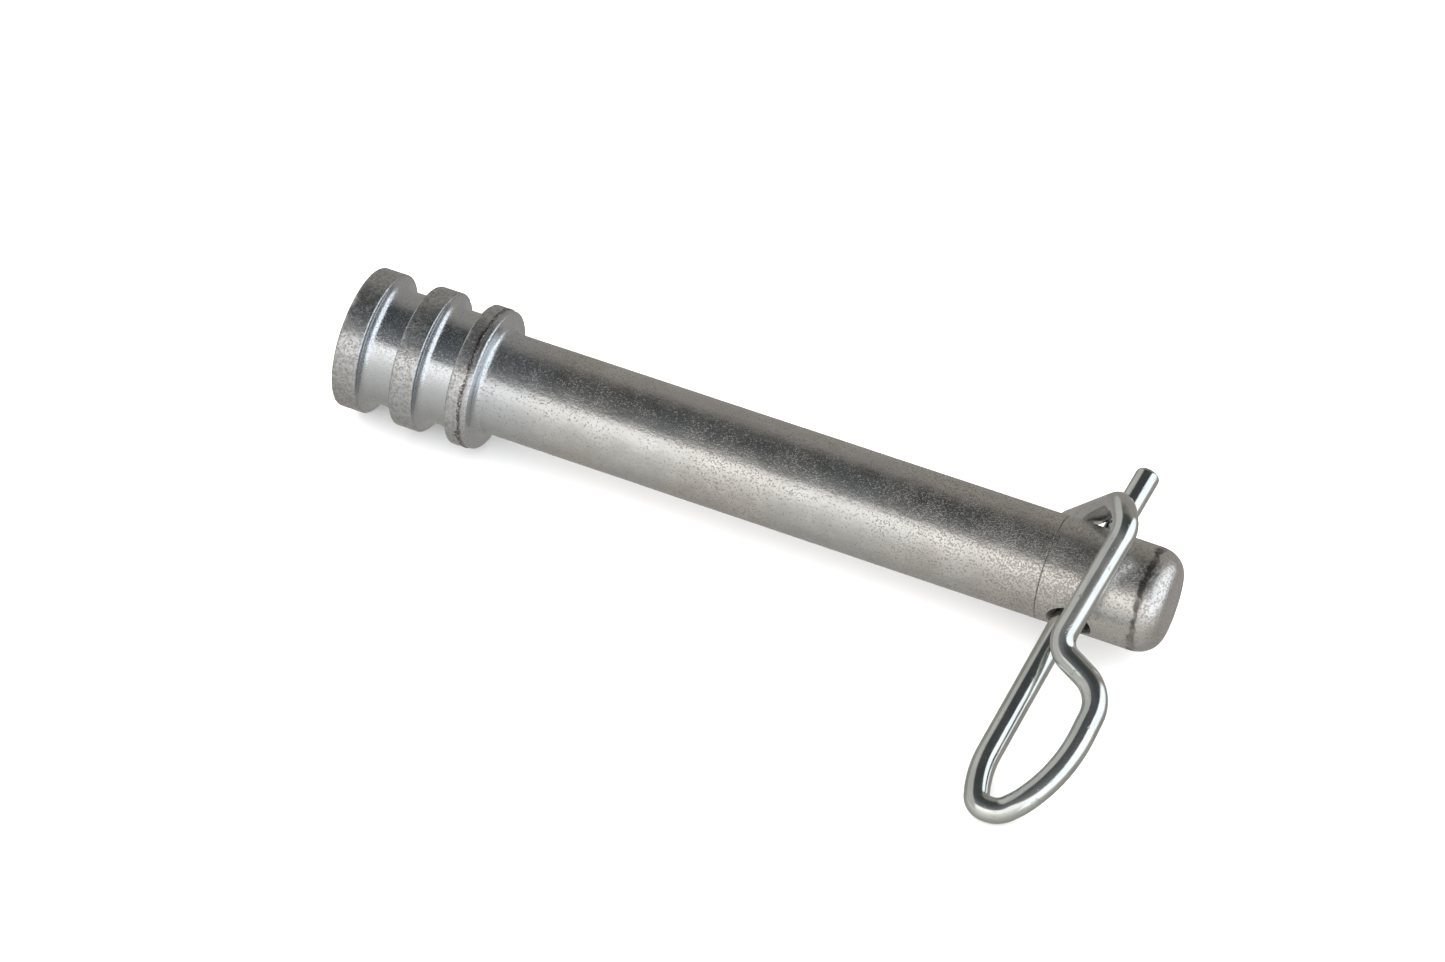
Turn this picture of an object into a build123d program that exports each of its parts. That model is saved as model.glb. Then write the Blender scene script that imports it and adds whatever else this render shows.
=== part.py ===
"""Hitch pin with a one-piece spring wire clip, lying on its side.

The row frame has +X along the pin from its grooved head to its tip, +Z up, and its origin on the
pin's axis where the straight shank starts. All lengths are millimetres, all angles degrees.
"""
from math import asin, cos, degrees, radians, sin
import os

from build123d import *

# Pin: a 5/8 inch shank under a head of three flanges and two grooves
SHANK_R = 15.875 / 2
SHANK_END = 102.7           # where the straight shank gives way to the rounded tip
TIP_ROUND = 4.1             # length of the rounding
TIP_FACE_R = 4.6            # flat left in the middle of the tip
SHOULDER_FILLET = 1.3       # between the shank and the bearing face
FLANGE_R = 11.05
FLANGE_EDGE = 0.25
FLANGE_WIDTHS = (3.55, 3.8, 4.0)    # from the bearing face to the head's end
GROOVE_WIDTHS = (5.4, 5.5)
GROOVE_R = 9.0
HEAD_END = -SHOULDER_FILLET - sum(FLANGE_WIDTHS) - sum(GROOVE_WIDTHS)
SCRIBE_X = 88.4             # shallow line scored round the shank, just before the cross hole
SCRIBE_DEPTH = 0.12
SCRIBE_HALF = 0.26          # half of its width at the surface

# Cross hole for the clip, 1/4 inch
HOLE_X = 93.7
HOLE_R = 6.35 / 2
HOLE_EDGE = 0.35

# Clip: one bent spring wire. Its points are in the clip's own plane: across the leg towards the
# tip, along the leg, and out of the plane towards the side that the hook passes over.
WIRE_R = 3.76 / 2
LEAN = 5.6                  # of the leg in its loose hole, towards the pin's tip
LEG_TOP = 19.9
LEG_BOW = 0.35              # how far its free end is bent aside, towards the pin's tip
BOW_RADIUS = 40
END_CHAMFER = 0.7           # on both ends of the wire
LEG_FOOT = -34.9
FOOT_RADIUS = 17
LOOP_BOTTOM = (3.8, -39.6)  # middle of the short run that lies along the pin
BOTTOM_RUN = 1.75           # half of that run, corner to corner
BOTTOM_RADII = (2.1, 3.75)
LOOP_SIDE = ((7.9, -36.9, 1.1), (11.45, -30.6, 2.7), (11.3, -18.0, 4.4))
LOOP_SIDE_RADII = (9.5, 22, 6)
KINK = (2.15, -14.2, 4.8)
KINK_RADIUS = 3.45
HOOK_TOP = ((4.4, 3.6, 12.4), (1.6, 8.2, 11.0))
HOOK_TOP_RADII = (3.15, 5.3)
HOOK_END = (-8.5, 10.95, -7.6)
FLEX_GAP = 0.3              # between the two halves of the wire, where the loop flexes
HALF = 0.5

# The pin lies on its flanges and is rolled until the clip's loop touches the same ground.
LOOP_DEPTH = -LOOP_BOTTOM[1] * cos(radians(LEAN)) + LOOP_BOTTOM[0] * sin(radians(LEAN))
ROLL = degrees(asin((FLANGE_R - WIRE_R) / LOOP_DEPTH))


def clip_plane():
    """Plane of the clip: its X across the leg, its Y along the leg, its Z out over the hook."""
    across = Vector(cos(radians(LEAN)), -sin(radians(LEAN)), 0).rotate(Axis.X, ROLL)
    out = Vector(0, 0, 1).rotate(Axis.X, ROLL)
    return Plane(origin=(HOLE_X, 0, 0), x_dir=across, z_dir=out)


def bottom_point(offset):
    """Point of the loop's bottom run, which lies along the pin, this far from its middle."""
    x, y = LOOP_BOTTOM
    return (x + offset * cos(radians(LEAN)), y + offset * sin(radians(LEAN)), 0)


def side_end():
    """Middle of the run from the loop's side to the kink, where the handle meets the hook."""
    return tuple(HALF * (here + there) for here, there in zip(LOOP_SIDE[-1], KINK))


def head_outline():
    """Half outline of the head, from the shank's start to the middle of the head's end."""
    x = -SHOULDER_FILLET
    JernArc(start=(0, SHANK_R), tangent=(-1, 0), radius=SHOULDER_FILLET, arc_size=-90)
    Line((x, SHANK_R + SHOULDER_FILLET), (x, FLANGE_R - FLANGE_EDGE))
    for number, width in enumerate(FLANGE_WIDTHS):
        Line((x, FLANGE_R - FLANGE_EDGE), (x - FLANGE_EDGE, FLANGE_R))
        Line((x - FLANGE_EDGE, FLANGE_R), (x - width + FLANGE_EDGE, FLANGE_R))
        x -= width
        Line((x + FLANGE_EDGE, FLANGE_R), (x, FLANGE_R - FLANGE_EDGE))
        if number < len(GROOVE_WIDTHS):
            groove = GROOVE_WIDTHS[number]
            cove = FLANGE_R - FLANGE_EDGE - GROOVE_R
            Line((x, FLANGE_R - FLANGE_EDGE), (x, GROOVE_R))
            Line((x, GROOVE_R), (x - groove + cove, GROOVE_R))
            x -= groove
            JernArc(start=(x + cove, GROOVE_R), tangent=(-1, 0), radius=cove, arc_size=-90)
    Line((HEAD_END, FLANGE_R - FLANGE_EDGE), (HEAD_END, 0))


def tip_outline():
    """Half outline of the shank and its rounded tip, from the shank's start to the axis."""
    Line((0, SHANK_R), (SCRIBE_X - SCRIBE_HALF, SHANK_R))
    Line((SCRIBE_X - SCRIBE_HALF, SHANK_R), (SCRIBE_X, SHANK_R - SCRIBE_DEPTH))
    Line((SCRIBE_X, SHANK_R - SCRIBE_DEPTH), (SCRIBE_X + SCRIBE_HALF, SHANK_R))
    Line((SCRIBE_X + SCRIBE_HALF, SHANK_R), (SHANK_END, SHANK_R))
    round_size = (TIP_ROUND, SHANK_R - TIP_FACE_R)
    EllipticalCenterArc((SHANK_END, TIP_FACE_R), *round_size, start_angle=0, arc_size=90)
    Line((SHANK_END + TIP_ROUND, TIP_FACE_R), (SHANK_END + TIP_ROUND, 0))


with BuildPart() as hitch_pin:
    with BuildSketch(Plane.XY) as pin_half:
        with BuildLine() as pin_outline:
            head_outline()
            tip_outline()
            Line((HEAD_END, 0), (SHANK_END + TIP_ROUND, 0))
        make_face()
    revolve(axis=Axis.X)
    hole_plane = Plane(origin=(HOLE_X, 0, 0), z_dir=Vector(0, 1, 0).rotate(Axis.X, ROLL))
    with BuildSketch(hole_plane) as hole_sketch:
        Circle(HOLE_R)
    extrude(amount=FLANGE_R, both=True, mode=Mode.SUBTRACT)
    mouths = hitch_pin.edges(Select.LAST).filter_by(GeomType.CIRCLE, reverse=True)
    chamfer(mouths, length=HOLE_EDGE)

with BuildPart() as clip_leg:
    with BuildLine(clip_plane()) as leg_path:
        leg_points = [
            (LEG_BOW, LEG_TOP, 0),
            (0, 0, 0),
            (0, LEG_FOOT, 0),
            bottom_point(-BOTTOM_RUN),
            bottom_point(-FLEX_GAP * HALF),
        ]
        FilletPolyline(*leg_points, radius=[BOW_RADIUS, FOOT_RADIUS, BOTTOM_RADII[0]])
    with BuildSketch(Plane(origin=leg_path.line @ 0, z_dir=leg_path.line % 0)):
        Circle(WIRE_R)
    sweep(path=leg_path.line)
    leg_top = clip_leg.faces().sort_by_distance(leg_path.line @ 0)[0]
    chamfer(leg_top.edges(), length=END_CHAMFER)

with BuildPart() as clip_handle:
    with BuildLine(clip_plane()) as handle_path:
        handle_points = [bottom_point(FLEX_GAP * HALF), bottom_point(BOTTOM_RUN), *LOOP_SIDE]
        handle_radii = [BOTTOM_RADII[1], *LOOP_SIDE_RADII]
        FilletPolyline(*handle_points, side_end(), radius=handle_radii)
    with BuildSketch(Plane(origin=handle_path.line @ 0, z_dir=handle_path.line % 0)):
        Circle(WIRE_R)
    sweep(path=handle_path.line)

with BuildPart() as clip_hook:
    with BuildLine(clip_plane()) as hook_path:
        hook_points = [side_end(), KINK, *HOOK_TOP, HOOK_END]
        FilletPolyline(*hook_points, radius=[KINK_RADIUS, *HOOK_TOP_RADII])
    with BuildSketch(Plane(origin=hook_path.line @ 0, z_dir=hook_path.line % 0)):
        Circle(WIRE_R)
    sweep(path=hook_path.line)
    hook_end = clip_hook.faces().sort_by_distance(hook_path.line @ 1)[0]
    chamfer(hook_end.edges(), length=END_CHAMFER)

hitch_pin.part.label = "hitch_pin"
clip_leg.part.label = "clip_leg"
clip_handle.part.label = "clip_handle"
clip_hook.part.label = "clip_hook"

os.makedirs("parts", exist_ok=True)
export_step(hitch_pin.part, "parts/hitch_pin.step")
export_step(clip_leg.part, "parts/clip_leg.step")
export_step(clip_handle.part, "parts/clip_handle.step")
export_step(clip_hook.part, "parts/clip_hook.step")

wire_length = 0
for path in (leg_path, handle_path, hook_path):
    wire_length += sum(edge.length for edge in path.edges())
print(f"pin rolled {ROLL:.2f} degrees, wire {wire_length:.1f} mm long")
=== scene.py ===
"""Looks of the hitch pin and its spring clip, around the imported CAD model. Lengths are in metres.

The pin and the wire are finer meshes on the CAD model's sizes: the pin is turned from one outline and
its cross hole cut through, and the wire is one round section carried along one line.
"""
import math
import random

import bpy
from mathutils import Matrix, Vector, noise


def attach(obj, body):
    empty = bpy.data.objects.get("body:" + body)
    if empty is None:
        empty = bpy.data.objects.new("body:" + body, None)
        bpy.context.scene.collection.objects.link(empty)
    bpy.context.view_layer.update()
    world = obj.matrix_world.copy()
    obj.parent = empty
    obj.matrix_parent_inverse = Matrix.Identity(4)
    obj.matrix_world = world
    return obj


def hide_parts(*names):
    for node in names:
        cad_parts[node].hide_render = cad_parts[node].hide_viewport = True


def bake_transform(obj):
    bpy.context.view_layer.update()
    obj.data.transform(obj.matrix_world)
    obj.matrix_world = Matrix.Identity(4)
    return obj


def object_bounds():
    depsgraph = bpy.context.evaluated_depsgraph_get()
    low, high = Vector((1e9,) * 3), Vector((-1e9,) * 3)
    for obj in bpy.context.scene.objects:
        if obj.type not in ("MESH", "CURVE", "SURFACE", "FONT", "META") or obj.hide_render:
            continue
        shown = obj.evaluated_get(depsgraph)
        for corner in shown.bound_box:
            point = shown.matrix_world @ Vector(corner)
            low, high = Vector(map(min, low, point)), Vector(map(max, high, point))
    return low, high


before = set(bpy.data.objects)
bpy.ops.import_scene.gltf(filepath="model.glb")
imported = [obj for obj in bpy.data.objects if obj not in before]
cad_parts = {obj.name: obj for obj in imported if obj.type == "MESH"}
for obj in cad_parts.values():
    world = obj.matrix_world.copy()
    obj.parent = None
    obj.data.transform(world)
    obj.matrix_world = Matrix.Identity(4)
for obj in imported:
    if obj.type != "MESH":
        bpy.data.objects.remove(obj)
cad_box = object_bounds()

MM = 0.001

# Pin, in millimetres: the CAD model's sizes, and the finer shape of its edges
SHANK_R = 7.9375
SHANK_END = 102.7
TIP_ROUND = 4.1
TIP_FACE_R = 4.6
SHOULDER_FILLET = 1.3
FLANGE_R = 11.05
FLANGE_WIDTHS = (4.0, 3.8, 3.55)      # from the head's end to the bearing face
GROOVE_WIDTHS = (5.5, 5.4)
GROOVE_R = 9.0
COVE_R = 1.8
EDGE_R = 0.3
CORNER_R = 0.3
HEAD_END = -SHOULDER_FILLET - sum(FLANGE_WIDTHS) - sum(GROOVE_WIDTHS)
TRIM_X = -2.45                        # ragged trimmed edge round the last flange
TRIM_STEP = 0.16
TRIM_RAGGED = 0.12
SCRIBE_X = 88.4
SCRIBE_DEPTH = 0.12
RING_X = 103.1                        # mark left round the tip
HOLE_X = 93.7
HOLE_R = 3.175
HOLE_FLARE = 0.3                      # how much wider the hole's mouth is
FLARE_DEPTH = 0.75
FLARE_PAST = 1.2                      # widening of the cutter outside the shank

# Rings along the pin, by how far apart they are in the head, the shank, near its line and at the tip
HEAD_PITCH = 0.45
SHANK_PITCH = 1.0
LINE_PITCH = 0.5
TIP_PITCH = 0.32
LINE_PITCH_FROM = 84.0
TIP_STEPS = 16
WOBBLE = 0.02                         # unevenness of the forged surface, broad and fine
FINE_WOBBLE = 0.006
NICKS_PER_EDGE = 9
SHARP_ANGLE = 35

ROLL = math.radians(13.327)           # of the clip's plane about the pin's axis

# Wire, in millimetres, in the clip's plane: across the leg, along it, and out over the hook
WIRE_R = 1.88
LEAN = math.radians(5.6)
LOOP_BOTTOM = (3.8, -39.6)
BOTTOM_RUN = 1.75
END_ROUND = 0.75


def bottom_point(offset):
    """Point of the loop's bottom run, this far along the pin from its middle."""
    x, y = LOOP_BOTTOM
    return (x + offset * math.cos(LEAN), y + offset * math.sin(LEAN), 0)


WIRE_POINTS = (
    (0.35, 19.9, 0),
    (0, 0, 0),
    (0, -34.9, 0),
    bottom_point(-BOTTOM_RUN),
    bottom_point(BOTTOM_RUN),
    (7.9, -36.9, 1.1),
    (11.45, -30.6, 2.7),
    (11.3, -18.0, 4.4),
    (2.15, -14.2, 4.8),
    (4.4, 3.6, 12.4),
    (1.6, 8.2, 11.0),
    (-8.5, 10.95, -7.6),
)
WIRE_RADII = (40, 17, 2.1, 3.75, 9.5, 22, 6, 3.45, 3.15, 5.3)
FOOT_CUT = 54.0                       # along the wire: where the leg's piece meets the bend's
SIDE_CUT = 74.0                       # and where the bend's meets the hook's
WIRE_PITCH = 0.3

AROUND_PIN = 208
AROUND_WIRE = 40


# ---------------------------------------------------------------- outlines and meshes

def arc(centre_x, centre_r, radius, start, end, steps=6):
    """Points of an arc in the outline's plane, its angles in degrees from +X."""
    points = []
    for step in range(steps + 1):
        angle = math.radians(start + (end - start) * step / steps)
        points.append((centre_x + radius * math.cos(angle), centre_r + radius * math.sin(angle)))
    return points


def run(start, end, pitch):
    """Points of a straight stretch, no further apart than the pitch, its end left out."""
    steps = max(1, math.ceil(math.dist(start, end) / pitch))
    return [tuple(a + (b - a) * step / steps for a, b in zip(start, end)) for step in range(steps)]


def joined(stretches, pitch):
    """One line through the given stretches, with straight runs between them."""
    line = list(stretches[0])
    for stretch in stretches[1:]:
        line += run(line[-1], stretch[0], pitch)[1:] + list(stretch)
    return line


def head_stretches():
    """Outline of the three flanges and two grooves, from the middle of the head's end."""
    stretches = [[(HEAD_END, 0.0)]]
    x = HEAD_END
    for number, width in enumerate(FLANGE_WIDTHS):
        stretches.append(arc(x + EDGE_R, FLANGE_R - EDGE_R, EDGE_R, 180, 90))
        x += width
        if number == len(GROOVE_WIDTHS):
            break
        stretches.append(arc(x - EDGE_R, FLANGE_R - EDGE_R, EDGE_R, 90, 0))
        cove_top = GROOVE_R + COVE_R
        stretches.append(arc(x + COVE_R, cove_top, COVE_R, 180, 270, 10))
        x += GROOVE_WIDTHS[number]
        stretches.append(arc(x - CORNER_R, GROOVE_R + CORNER_R, CORNER_R, 270, 360, 4))
    return stretches


def shoulder_stretches():
    """Outline of the last flange's trimmed edge, the bearing face and the fillet to the shank."""
    lip_r = FLANGE_R - TRIM_STEP
    return [
        [(TRIM_X - 0.1, FLANGE_R), (TRIM_X, FLANGE_R), (TRIM_X + 0.08, lip_r - 0.05)],
        [(TRIM_X + 0.22, lip_r)] + arc(-SHOULDER_FILLET - 0.45, lip_r - 0.45, 0.45, 90, 0, 8),
        arc(0, SHANK_R + SHOULDER_FILLET, SHOULDER_FILLET, 180, 270, 10),
    ]


def shank_stretches():
    """Outline of the shank with its scored line, the rounded tip and the tip's face."""
    tip = []
    for step in range(TIP_STEPS + 1):
        angle = math.radians(90 * step / TIP_STEPS)
        along = SHANK_END + TIP_ROUND * math.sin(angle)
        tip.append((along, TIP_FACE_R + (SHANK_R - TIP_FACE_R) * math.cos(angle)))
    return [
        [
            (SCRIBE_X - SCRIBE_DEPTH, SHANK_R),
            (SCRIBE_X, SHANK_R - SCRIBE_DEPTH),
            (SCRIBE_X + SCRIBE_DEPTH, SHANK_R),
        ],
        tip,
        [(SHANK_END + TIP_ROUND, 0.0)],
    ]


def wobble(x, angle, radius):
    """Inward unevenness of the forged surface, in millimetres."""
    place = Vector((x * 0.11, radius * math.cos(angle) * 0.16, radius * math.sin(angle) * 0.16))
    fine = noise.noise(place * 3.1 + Vector((7.0, 1.0, 4.0)))
    return WOBBLE * (1 + noise.noise(place)) + FINE_WOBBLE * (1 + fine)


def nicks():
    """Small dents on the flanges' edges: place along the pin, angle, half width and depth."""
    draw = random.Random(11)
    found = []
    x = HEAD_END
    for number, width in enumerate(FLANGE_WIDTHS):
        for edge in (x + 0.1, x + width - 0.1):
            for _ in range(NICKS_PER_EDGE):
                turn = draw.uniform(0, math.tau)
                half_width = draw.uniform(0.35, 1.1)
                found.append((edge, turn, half_width, draw.uniform(0.03, 0.12)))
        if number < len(GROOVE_WIDTHS):
            x += width + GROOVE_WIDTHS[number]
    return found


def nick_depth(x, angle, dents):
    """How deep the dents are at one point of a flange's rim, in millimetres."""
    depth = 0.0
    for edge, middle, half, deep in dents:
        turn = (angle - middle + math.pi) % math.tau - math.pi
        away = math.hypot((x - edge) / 0.35, turn * FLANGE_R / half)
        if away < 1:
            depth = max(depth, deep * (1 - away * away))
    return depth


def mesh_object(name, vertices, faces, sharp=SHARP_ANGLE):
    """A smooth-shaded object, its edges sharper than the given angle left sharp."""
    mesh = bpy.data.meshes.new(name)
    mesh.from_pydata([Vector(v) * MM for v in vertices], [], faces)
    mesh.validate()
    mesh.shade_smooth()
    mesh.set_sharp_from_angle(angle=math.radians(sharp))
    made = bpy.data.objects.new(name, mesh)
    bpy.context.scene.collection.objects.link(made)
    return made


def lathe_faces(rows, around):
    """Faces between rings of vertices, closed by a fan round a single vertex at each end."""
    faces = []
    for side in range(around):
        beside = (side + 1) % around
        faces.append((0, 1 + beside, 1 + side))
        for row in range(rows - 1):
            low = 1 + row * around
            faces.append((low + side, low + beside, low + around + beside, low + around + side))
        last = 1 + (rows - 1) * around
        faces.append((last + side, last + beside, 1 + rows * around))
    return faces


def turned_pin():
    """The pin's surface: the outline turned round the axis, uneven as a forging is."""
    outline = joined(head_stretches() + shoulder_stretches(), HEAD_PITCH)
    scored_line, tip, tip_middle = shank_stretches()
    near_line = (LINE_PITCH_FROM, SHANK_R)
    outline += run(outline[-1], near_line, SHANK_PITCH)[1:]
    outline += run(near_line, scored_line[0], LINE_PITCH) + scored_line
    outline += run(scored_line[-1], tip[0], TIP_PITCH)[1:] + tip
    outline += run(tip[-1], tip_middle[0], LINE_PITCH)[1:]
    dents = nicks()
    vertices = [(HEAD_END, 0.0, 0.0)]
    for x, radius in outline[1:]:
        for side in range(AROUND_PIN):
            angle = math.tau * side / AROUND_PIN
            inward = wobble(x, angle, radius) * min(1.0, radius / 3)
            along = x
            if radius > FLANGE_R - EDGE_R:
                inward += nick_depth(x, angle, dents)
            if abs(x - TRIM_X) < 0.15 and radius > FLANGE_R - 2 * TRIM_STEP:
                ragged = noise.noise(Vector((math.cos(angle) * 6, math.sin(angle) * 6, 3.0)))
                along += TRIM_RAGGED * ragged + 0.5 * TRIM_RAGGED * math.sin(23 * angle)
            out = radius - inward
            vertices.append((along, -out * math.sin(angle), out * math.cos(angle)))
    vertices.append((SHANK_END + TIP_ROUND, 0.0, 0.0))
    return mesh_object("hitch_pin_forged", vertices, lathe_faces(len(outline) - 1, AROUND_PIN))


def hole_cutter():
    """A round bar across the pin, flared where it leaves the shank."""
    half = [
        (0.0, HOLE_R),
        (SHANK_R - FLARE_DEPTH, HOLE_R),
        (SHANK_R, HOLE_R + HOLE_FLARE),
        (FLANGE_R, HOLE_R + FLARE_PAST),
    ]
    profile = [(-d, r) for d, r in reversed(half)] + half[1:]
    side_way = Vector((0, math.cos(ROLL), math.sin(ROLL)))
    up_way = Vector((0, -math.sin(ROLL), math.cos(ROLL)))
    centre = Vector((HOLE_X, 0, 0))
    around = 96
    vertices = [centre + side_way * profile[0][0]]
    for along, radius in profile:
        for side in range(around):
            angle = math.tau * side / around
            across = Vector((math.cos(angle), 0, 0)) - up_way * math.sin(angle)
            vertices.append(centre + side_way * along + across * radius)
    vertices.append(centre + side_way * profile[-1][0])
    return mesh_object("hole_cutter", vertices, lathe_faces(len(profile), around))


def cut(target, cutter):
    """Takes the cutter's shape out of the target, then removes the cutter."""
    modifier = target.modifiers.new("cut", "BOOLEAN")
    modifier.operation = "DIFFERENCE"
    modifier.solver = "EXACT"
    modifier.object = cutter
    graph = bpy.context.evaluated_depsgraph_get()
    mesh = bpy.data.meshes.new_from_object(target.evaluated_get(graph))
    target.modifiers.clear()
    target.data = mesh
    mesh.shade_smooth()
    mesh.set_sharp_from_angle(angle=math.radians(SHARP_ANGLE))
    bpy.data.objects.remove(cutter)


# ---------------------------------------------------------------- wire

def clip_to_row(point):
    """A point of the clip's own plane, in the row frame."""
    across, along, out = point
    x = HOLE_X + across * math.cos(LEAN) + along * math.sin(LEAN)
    level = along * math.cos(LEAN) - across * math.sin(LEAN)
    return Vector((
        x,
        level * math.cos(ROLL) - out * math.sin(ROLL),
        level * math.sin(ROLL) + out * math.cos(ROLL),
    ))


def bend_points(before, corner, after, radius, pitch):
    """Points of the arc that rounds a corner."""
    back = (before - corner).normalized()
    on = (after - corner).normalized()
    half = back.angle(on) / 2
    middle = corner + (back + on).normalized() * (radius / math.sin(half))
    first = corner + back * (radius / math.tan(half)) - middle
    last = corner + on * (radius / math.tan(half)) - middle
    turn = first.angle(last)
    steps = max(8, math.ceil(turn * radius / pitch))
    points = []
    for step in range(steps + 1):
        share = step / steps
        aside = first * math.sin((1 - share) * turn) + last * math.sin(share * turn)
        points.append(middle + aside / math.sin(turn))
    return points


def wire_line():
    """The wire's middle line in the row frame, from the leg's free end to the hook's."""
    corners = [clip_to_row(point) for point in WIRE_POINTS]
    stretches = [[corners[0]]]
    for index, radius in enumerate(WIRE_RADII):
        stretches.append(bend_points(*corners[index:index + 3], radius, WIRE_PITCH))
    stretches.append([corners[-1]])
    line = [corners[0]]
    for stretch in stretches[1:]:
        steps = max(1, math.ceil((stretch[0] - line[-1]).length / WIRE_PITCH))
        start = line[-1]
        line += [start.lerp(stretch[0], step / steps) for step in range(1, steps)]
        line += stretch
    return line


def wire_rings():
    """Rings along the wire: distance along it, and the ring's points."""
    line = wire_line()
    tangents = []
    for index in range(len(line)):
        tangents.append((line[min(index + 1, len(line) - 1)] - line[max(index - 1, 0)]).normalized())
    side = tangents[0].orthogonal().normalized()
    total = sum((b - a).length for a, b in zip(line, line[1:]))
    rings = []
    distance = 0.0
    for index, point in enumerate(line):
        if index:
            distance += (point - line[index - 1]).length
            side = (side - tangents[index] * side.dot(tangents[index])).normalized()
        rings.append((distance, point, side, tangents[index].cross(side)))
    return rings, total


def ring_radius(distance, total):
    """The wire's radius there, less near its rounded ends."""
    from_end = min(distance, total - distance)
    if from_end >= END_ROUND:
        return WIRE_R
    drop = 1 - from_end / END_ROUND
    return WIRE_R - END_ROUND * (1 - math.sqrt(max(0.0, 1 - drop * drop)))


def end_rings(rings, total):
    """The same rings, with closer ones where the ends are rounded."""
    finer = []
    for fraction in (0.0, 0.04, 0.12, 0.25, 0.45, 0.7, 1.0):
        finer.append(fraction * END_ROUND)
    first = rings[0]
    last = rings[-1]
    way_in = (rings[1][1] - first[1]).normalized()
    way_out = (rings[-2][1] - last[1]).normalized()
    start = [(d, first[1] + way_in * d, first[2], first[3]) for d in finer]
    end = [(total - d, last[1] + way_out * d, last[2], last[3]) for d in reversed(finer)]
    middle = [ring for ring in rings if END_ROUND < ring[0] < total - END_ROUND]
    return start + middle + end


def wire_piece(name, low, high, rings, total):
    """The stretch of wire between two distances, closed at both ends, with its place along it."""
    used = [ring for ring in rings if low - 1e-6 <= ring[0] <= high + 1e-6]
    vertices = [used[0][1]]
    places = [(used[0][0], 0.0, 0.0)]
    for distance, point, side, up in used:
        radius = ring_radius(distance, total)
        for step in range(AROUND_WIRE):
            angle = math.tau * step / AROUND_WIRE
            vertices.append(point + (side * math.cos(angle) + up * math.sin(angle)) * radius)
            places.append((distance, WIRE_R * math.cos(angle), WIRE_R * math.sin(angle)))
    vertices.append(used[-1][1])
    places.append((used[-1][0], 0.0, 0.0))
    made = mesh_object(name, vertices, lathe_faces(len(used), AROUND_WIRE), sharp=50)
    drawn = made.data.attributes.new("drawn", "FLOAT_VECTOR", "POINT")
    drawn.data.foreach_set("vector", [c * MM for place in places for c in place])
    return made


# ---------------------------------------------------------------- materials

class Shader:
    """A material under construction: adds nodes and links them."""

    def __init__(self, name):
        self.material = bpy.data.materials.new(name)
        self.material.use_nodes = True
        self.tree = self.material.node_tree
        self.tree.nodes.clear()

    def add(self, kind, inputs=None, **settings):
        """A node with its settings and inputs, where an input is a value or another node's output."""
        made = self.tree.nodes.new(kind)
        for key, value in settings.items():
            setattr(made, key, value)
        for key, value in (inputs or {}).items():
            self.put(made.inputs[key], value)
        return made

    def put(self, socket, value):
        """Links a socket to an output, or sets its value."""
        if isinstance(value, bpy.types.NodeSocket):
            self.tree.links.new(value, socket)
        else:
            socket.default_value = value

    def math(self, operation, a, b=0.0, c=0.0):
        """Result of one maths operation."""
        made = self.add("ShaderNodeMath", {0: a, 1: b, 2: c}, operation=operation)
        return made.outputs[0]

    def noise(self, place, scale, detail, roughness=0.55, stretch=None):
        """Noise of so many features a metre, perhaps stretched."""
        if stretch:
            place = self.add("ShaderNodeMapping", {"Vector": place, "Scale": stretch}).outputs[0]
        settings = {"Vector": place, "Scale": scale, "Detail": detail, "Roughness": roughness}
        return self.add("ShaderNodeTexNoise", settings).outputs["Fac"]

    def ramp(self, value, low, high, a=0.0, b=1.0):
        """The value taken from low..high to a..b, smoothly."""
        settings = {"Value": value, "From Min": low, "From Max": high, "To Min": a, "To Max": b}
        return self.add("ShaderNodeMapRange", settings, interpolation_type="SMOOTHSTEP").outputs[0]

    def mix(self, share, a, b):
        """Colour between a and b."""
        made = self.add("ShaderNodeMix", data_type="RGBA")
        self.put(made.inputs["Factor"], share)
        self.put(made.inputs[6], a)
        self.put(made.inputs[7], b)
        return made.outputs[2]

    def bump(self, height, distance):
        """Normal bent by a height."""
        settings = {"Height": height, "Distance": distance, "Strength": 1.0}
        return self.add("ShaderNodeBump", settings).outputs[0]

    def finish(self, colour, roughness, normal):
        """The metal's surface."""
        surface = self.add("ShaderNodeBsdfPrincipled", {"Metallic": 1.0})
        self.put(surface.inputs["Base Color"], colour)
        self.put(surface.inputs["Roughness"], roughness)
        self.put(surface.inputs["Normal"], normal)
        output = self.add("ShaderNodeOutputMaterial")
        self.tree.links.new(surface.outputs[0], output.inputs["Surface"])
        return self.material


def band(shader, value, middle, half, soft):
    """1 within half of the middle, falling to 0 over the soft width outside it."""
    away = shader.math("ABSOLUTE", shader.math("SUBTRACT", value, middle))
    return shader.ramp(away, half, half + soft, 1.0, 0.0)


def plate_colour(s, x, mottle, cloud):
    """Bare plate: mottled grey, cooler in clouds and near the head."""
    bright = (0.70, 0.69, 0.67, 1)
    dull = (0.58, 0.565, 0.54, 1)
    colour = s.mix(s.ramp(mottle, 0.36, 0.66), dull, bright)
    colour = s.mix(s.math("MULTIPLY", s.ramp(cloud, 0.42, 0.66), 0.35), colour, (0.60, 0.62, 0.64, 1))
    near_head = s.ramp(x, 0.002, 0.014, 0.6, 0.0)
    return s.mix(near_head, colour, (0.56, 0.60, 0.645, 1))


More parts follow.
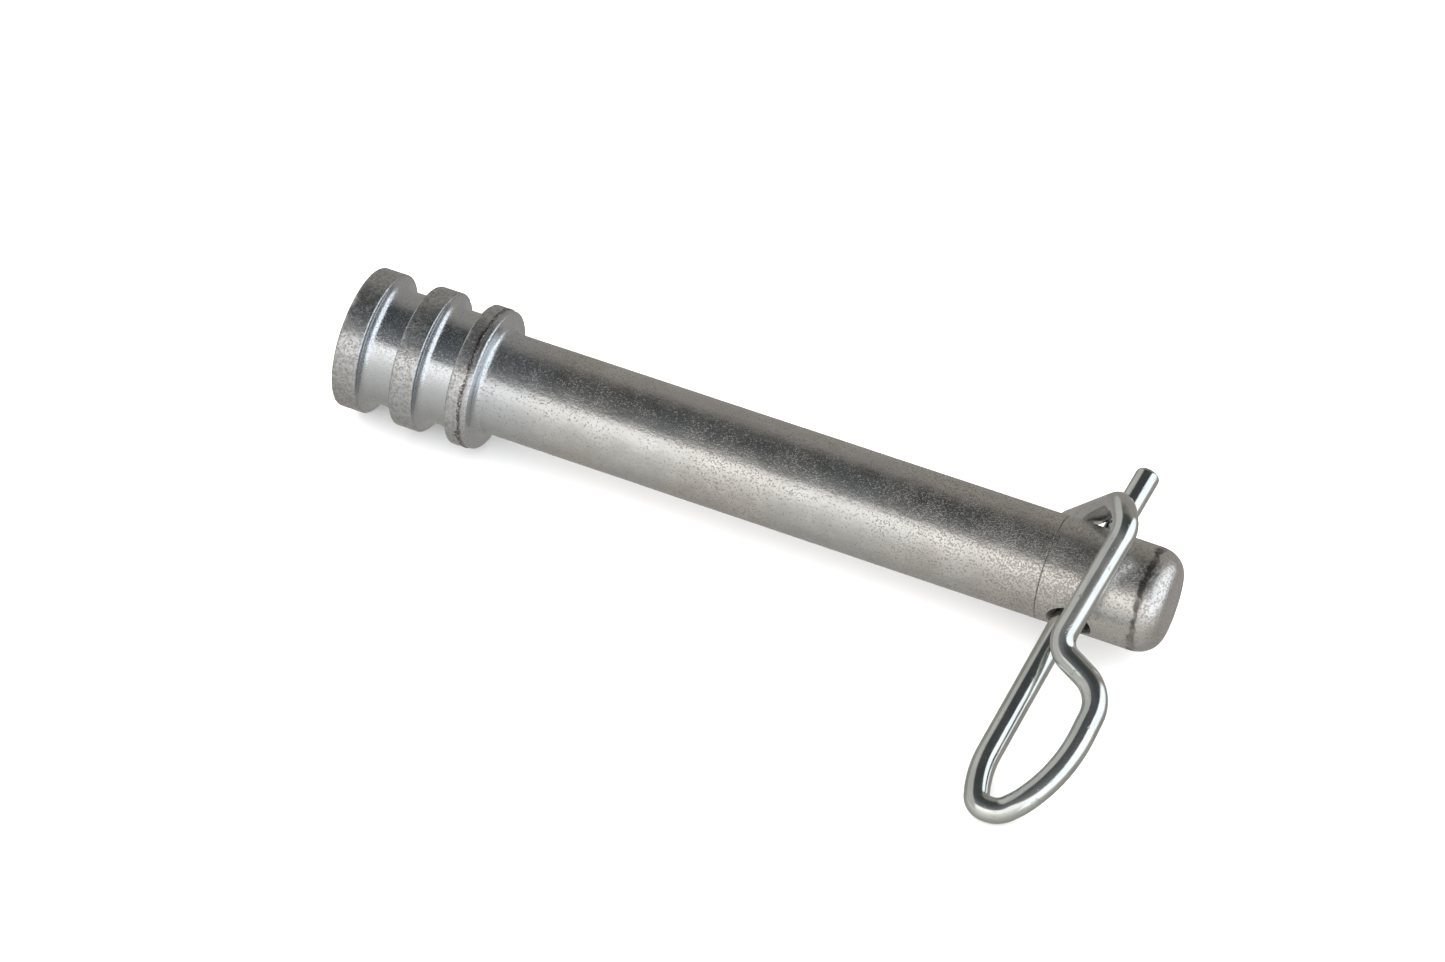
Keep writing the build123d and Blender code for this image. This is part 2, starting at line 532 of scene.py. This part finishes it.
def brown_specks(s, x, speck, mottle, cloud):
    """Where the fine brown specks are: in patches, and thicker towards the tip."""
    toward_tip = s.ramp(x, -0.002, 0.1, 0.515, 0.48)
    patchy = s.math("MULTIPLY_ADD", s.math("SUBTRACT", mottle, 0.5), 0.22, speck)
    wear = s.math("SUBTRACT", patchy, s.math("MULTIPLY", s.math("SUBTRACT", cloud, 0.5), 0.3))
    return s.ramp(s.math("SUBTRACT", wear, toward_tip), 0.06, 0.13)


def pin_marks(s, colour, x, on_rim, mottle, speck, cloud):
    """Brown line where the last flange was trimmed, dark ring at the tip, dirt in the scored line."""
    uneven = s.math("SUBTRACT", mottle, 0.5)
    ragged = s.math("MULTIPLY_ADD", uneven, 0.0022, x)
    trim = s.math("MULTIPLY", band(s, ragged, TRIM_X * MM - 0.0001, 0.00012, 0.0003), on_rim)
    trim = s.math("MULTIPLY", trim, s.ramp(speck, 0.36, 0.52))
    colour = s.mix(s.math("MULTIPLY", trim, 0.9), colour, (0.085, 0.05, 0.035, 1))
    wander = s.math("MULTIPLY_ADD", uneven, 0.0030, x)
    broken = s.ramp(mottle, 0.36, 0.56, 0.35, 1.0)
    ring = s.math("MULTIPLY", band(s, wander, RING_X * MM, 0.0002, 0.0006), broken)
    colour = s.mix(s.math("MULTIPLY", ring, 0.9), colour, (0.07, 0.066, 0.064, 1))
    faint = s.ramp(cloud, 0.4, 0.6, 0.2, 0.8)
    scored = s.math("MULTIPLY", band(s, x, SCRIBE_X * MM, 0.00006, 0.00008), faint)
    return s.mix(scored, colour, (0.16, 0.13, 0.11, 1))


def pin_metal():
    """Worn zinc plate on the forged pin: fine specks, stains, a cleaner head and marks."""
    s = Shader("pin_zinc")
    place = s.add("ShaderNodeTexCoord").outputs["Object"]
    split = s.add("ShaderNodeSeparateXYZ", {0: place})
    x = split.outputs["X"]
    around = s.math("MULTIPLY", split.outputs["Y"], split.outputs["Y"])
    around = s.math("MULTIPLY_ADD", split.outputs["Z"], split.outputs["Z"], around)
    radius = s.math("SQRT", around)

    cloud = s.noise(place, 55, 3.0)
    mottle = s.noise(place, 260, 5.0, 0.62)
    grain = s.noise(place, 1700, 3.0, 0.65)
    speck = s.noise(place, 3300, 2.0, 0.55)
    fleck = s.noise(place, 900, 3.0, 0.6, (1.0, 1.6, 1.6))
    drawn = s.noise(place, 900, 3.0, 0.6, (0.06, 1.0, 1.0))

    colour = plate_colour(s, x, mottle, cloud)
    specks = brown_specks(s, x, speck, mottle, cloud)
    colour = s.mix(s.math("MULTIPLY", specks, 0.55), colour, (0.28, 0.23, 0.195, 1))

    # grooves and the faces of the flanges are cleaner and bluer
    in_head = s.ramp(x, -0.0014, -0.0005, 1.0, 0.0)
    below_rim = s.ramp(radius, 0.0104, 0.0108, 1.0, 0.0)
    clean = s.math("MULTIPLY", in_head, below_rim)
    colour = s.mix(s.math("MULTIPLY", clean, 0.75), colour, (0.60, 0.63, 0.66, 1))
    on_rim = s.math("MULTIPLY", in_head, s.ramp(radius, 0.01075, 0.011, 0.0, 1.0))
    rim_dirt = s.math("MULTIPLY", on_rim, s.ramp(grain, 0.42, 0.62))
    colour = s.mix(s.math("MULTIPLY", rim_dirt, 0.45), colour, (0.26, 0.235, 0.21, 1))

    colour = pin_marks(s, colour, x, on_rim, mottle, speck, cloud)
    rough = s.math("ADD", s.ramp(mottle, 0.3, 0.7, 0.265, 0.30), s.math("MULTIPLY", specks, 0.12))
    rough = s.math("ADD", rough, s.math("MULTIPLY", s.ramp(fleck, 0.5, 0.75), 0.06))
    rough = s.math("SUBTRACT", rough, s.math("MULTIPLY", clean, 0.12))
    height = s.math("MULTIPLY_ADD", grain, 0.8, s.math("MULTIPLY", specks, -0.45))
    height = s.math("MULTIPLY_ADD", fleck, 0.9, height)
    height = s.math("MULTIPLY_ADD", drawn, 0.25, height)
    amount = s.math("MULTIPLY_ADD", clean, -0.6, 1.0)
    normal = s.bump(s.math("MULTIPLY", height, amount), 0.000045)
    return s.finish(colour, rough, normal)


def wire_metal():
    """Bright zinc plate on drawn spring wire: fine lines along it and a few flecks."""
    s = Shader("wire_zinc")
    place = s.add("ShaderNodeAttribute", attribute_name="drawn").outputs["Vector"]
    lines = s.noise(place, 1900, 3.0, 0.6, (0.035, 1.0, 1.0))
    patches = s.noise(place, 420, 4.0, 0.6, (0.5, 1.0, 1.0))
    flecks = s.noise(place, 1500, 3.0, 0.65, (0.6, 1.0, 1.0))
    colour = s.mix(s.ramp(patches, 0.35, 0.7), (0.58, 0.605, 0.59, 1), (0.70, 0.715, 0.70, 1))
    marks = s.ramp(flecks, 0.62, 0.72)
    colour = s.mix(s.math("MULTIPLY", marks, 0.55), colour, (0.22, 0.27, 0.26, 1))
    rough = s.math("ADD", s.ramp(patches, 0.3, 0.75, 0.10, 0.17), s.math("MULTIPLY", marks, 0.2))
    height = s.math("MULTIPLY_ADD", lines, 0.6, s.math("MULTIPLY", marks, -0.4))
    height = s.math("MULTIPLY_ADD", patches, 0.9, height)
    return s.finish(colour, rough, s.bump(height, 0.00002))


# ---------------------------------------------------------------- studio

# Brightness of the tent round the object, by angle about the pin's axis: 0 overhead, 90 in front
TENT = (
    (-180, (0.40, 0.385, 0.36)),
    (-110, (0.36, 0.34, 0.32)),
    (-62, (0.36, 0.34, 0.31)),
    (-46, (0.24, 0.23, 0.215)),
    (-36, (0.08, 0.082, 0.08)),
    (-12, (0.07, 0.075, 0.077)),
    (8, (0.11, 0.115, 0.12)),
    (26, (0.20, 0.205, 0.21)),
    (40, (0.25, 0.25, 0.245)),
    (46, (1.55, 1.52, 1.47)),
    (64, (1.45, 1.42, 1.37)),
    (78, (1.02, 1.00, 0.96)),
    (100, (0.74, 0.725, 0.69)),
    (132, (0.56, 0.545, 0.51)),
    (160, (0.44, 0.425, 0.40)),
    (180, (0.40, 0.385, 0.36)),
)
TENT_RADIUS = 3.0

# Panels past the tip and past the head: the share of the tent's radius along X where each starts, and
# where it is full, and its light. They fade out below the horizon.
TIP_SIDE = (0.50, 0.62, (1.50, 1.57, 1.64))
HEAD_SIDE = (-0.48, -0.66, (0.62, 0.605, 0.58))
SIDE_FADE = (-0.2, 0.1)

SKY_STRENGTH = 2.4
FLOOR_COLOUR = (0.93, 0.93, 0.93, 1)
FLOOR_SIZE = 12

# Camera: degrees round the object, above the floor and of tilt, then its lens and its place
CAMERA_TURNS = (21.61, 47.87, 2.2)
CAMERA_LENS = 112.1
CAMERA_PLACE = (0.202349, -0.419893, 0.49397)


def light_tent():
    """A dome round the object, seen only in reflections, dark overhead and bright in front."""
    bpy.ops.mesh.primitive_uv_sphere_add(segments=48, ring_count=24, radius=TENT_RADIUS)
    tent = bpy.context.object
    tent.name = "light_tent"
    s = Shader("tent_glow")
    place = s.add("ShaderNodeTexCoord").outputs["Object"]
    split = s.add("ShaderNodeSeparateXYZ", {0: place})
    forward = s.math("MULTIPLY", split.outputs["Y"], -1.0)
    turn = s.math("ARCTAN2", forward, split.outputs["Z"])
    share = s.math("MULTIPLY_ADD", turn, 1 / math.tau, 0.5)
    ramp = s.add("ShaderNodeValToRGB", {"Fac": share})
    stops = ramp.color_ramp.elements
    while len(stops) < len(TENT):
        stops.new(0.5)
    for stop, (degrees, colour) in zip(stops, TENT):
        stop.position = degrees / 360 + 0.5
        stop.color = (*colour, 1)
    colour = ramp.outputs["Color"]
    along = s.math("MULTIPLY", split.outputs["X"], 1 / TENT_RADIUS)
    above = s.ramp(split.outputs["Z"], *(share_up * TENT_RADIUS for share_up in SIDE_FADE))
    for start, full, light in (TIP_SIDE, HEAD_SIDE):
        reach = s.ramp(s.math("ABSOLUTE", along), abs(start), abs(full))
        same_side = s.math("GREATER_THAN", s.math("MULTIPLY", along, math.copysign(1.0, start)), 0.0)
        reach = s.math("MULTIPLY", s.math("MULTIPLY", reach, same_side), above)
        colour = s.mix(reach, colour, (*light, 1))
    glow = s.add("ShaderNodeEmission", {"Color": colour, "Strength": 1.0})
    output = s.add("ShaderNodeOutputMaterial")
    s.tree.links.new(glow.outputs[0], output.inputs["Surface"])
    s.material.cycles.emission_sampling = "NONE"
    tent.data.materials.append(s.material)
    tent.visible_camera = False
    tent.visible_diffuse = False
    tent.visible_shadow = False
    tent.visible_transmission = False
    tent.visible_volume_scatter = False


def studio():
    """A plain pale floor under an even sky, and the tent that the metal reflects."""
    scene = bpy.context.scene
    scene.view_settings.view_transform = "Standard"
    world = bpy.data.worlds.new("studio")
    scene.world = world
    world.use_nodes = True
    world.node_tree.nodes["Background"].inputs["Color"].default_value = (1, 1, 1, 1)
    world.node_tree.nodes["Background"].inputs["Strength"].default_value = SKY_STRENGTH
    bpy.ops.mesh.primitive_plane_add(size=FLOOR_SIZE, location=(0, 0, cad_box[0].z))
    floor = bpy.context.object
    floor.name = "floor"
    s = Shader("floor_paper")
    surface = s.add("ShaderNodeBsdfDiffuse", {"Color": FLOOR_COLOUR})
    output = s.add("ShaderNodeOutputMaterial")
    s.tree.links.new(surface.outputs[0], output.inputs["Surface"])
    floor.data.materials.append(s.material)
    floor.visible_glossy = False
    light_tent()


def camera():
    """The camera: 48 degrees above the floor, from the front and the tip's side, slightly tilted."""
    azimuth, elevation, tilt = (math.radians(angle) for angle in CAMERA_TURNS)
    level = Matrix.Rotation(azimuth, 3, "Z") @ Matrix.Rotation(math.pi / 2 - elevation, 3, "X")
    data = bpy.data.cameras.new("camera")
    data.sensor_width = 36.0
    data.lens = CAMERA_LENS
    data.clip_start = 0.01
    made = bpy.data.objects.new("camera", data)
    bpy.context.scene.collection.objects.link(made)
    turned = level @ Matrix.Rotation(tilt, 3, "Z")
    made.matrix_world = Matrix.Translation(CAMERA_PLACE) @ turned.to_4x4()
    bpy.context.scene.camera = made


camera()
studio()

pin = turned_pin()
cut(pin, hole_cutter())
pin.data.materials.clear()
pin.data.materials.append(pin_metal())
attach(pin, "pin")
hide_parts("hitch_pin")

wire_material = wire_metal()
all_rings, wire_total = wire_rings()
all_rings = end_rings(all_rings, wire_total)
cuts = [min(all_rings, key=lambda ring: abs(ring[0] - place))[0] for place in (FOOT_CUT, SIDE_CUT)]
leg = wire_piece("clip_leg_wire", 0.0, cuts[0], all_rings, wire_total)
bend = wire_piece("clip_loop_wire", cuts[0], cuts[1], all_rings, wire_total)
hook = wire_piece("clip_hook_wire", cuts[1], wire_total, all_rings, wire_total)
for piece in (leg, bend, hook):
    piece.data.materials.append(wire_material)
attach(leg, "clip")
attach(hook, "hook")
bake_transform(bend)
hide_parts("clip_leg")
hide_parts("clip_handle", "clip_hook")
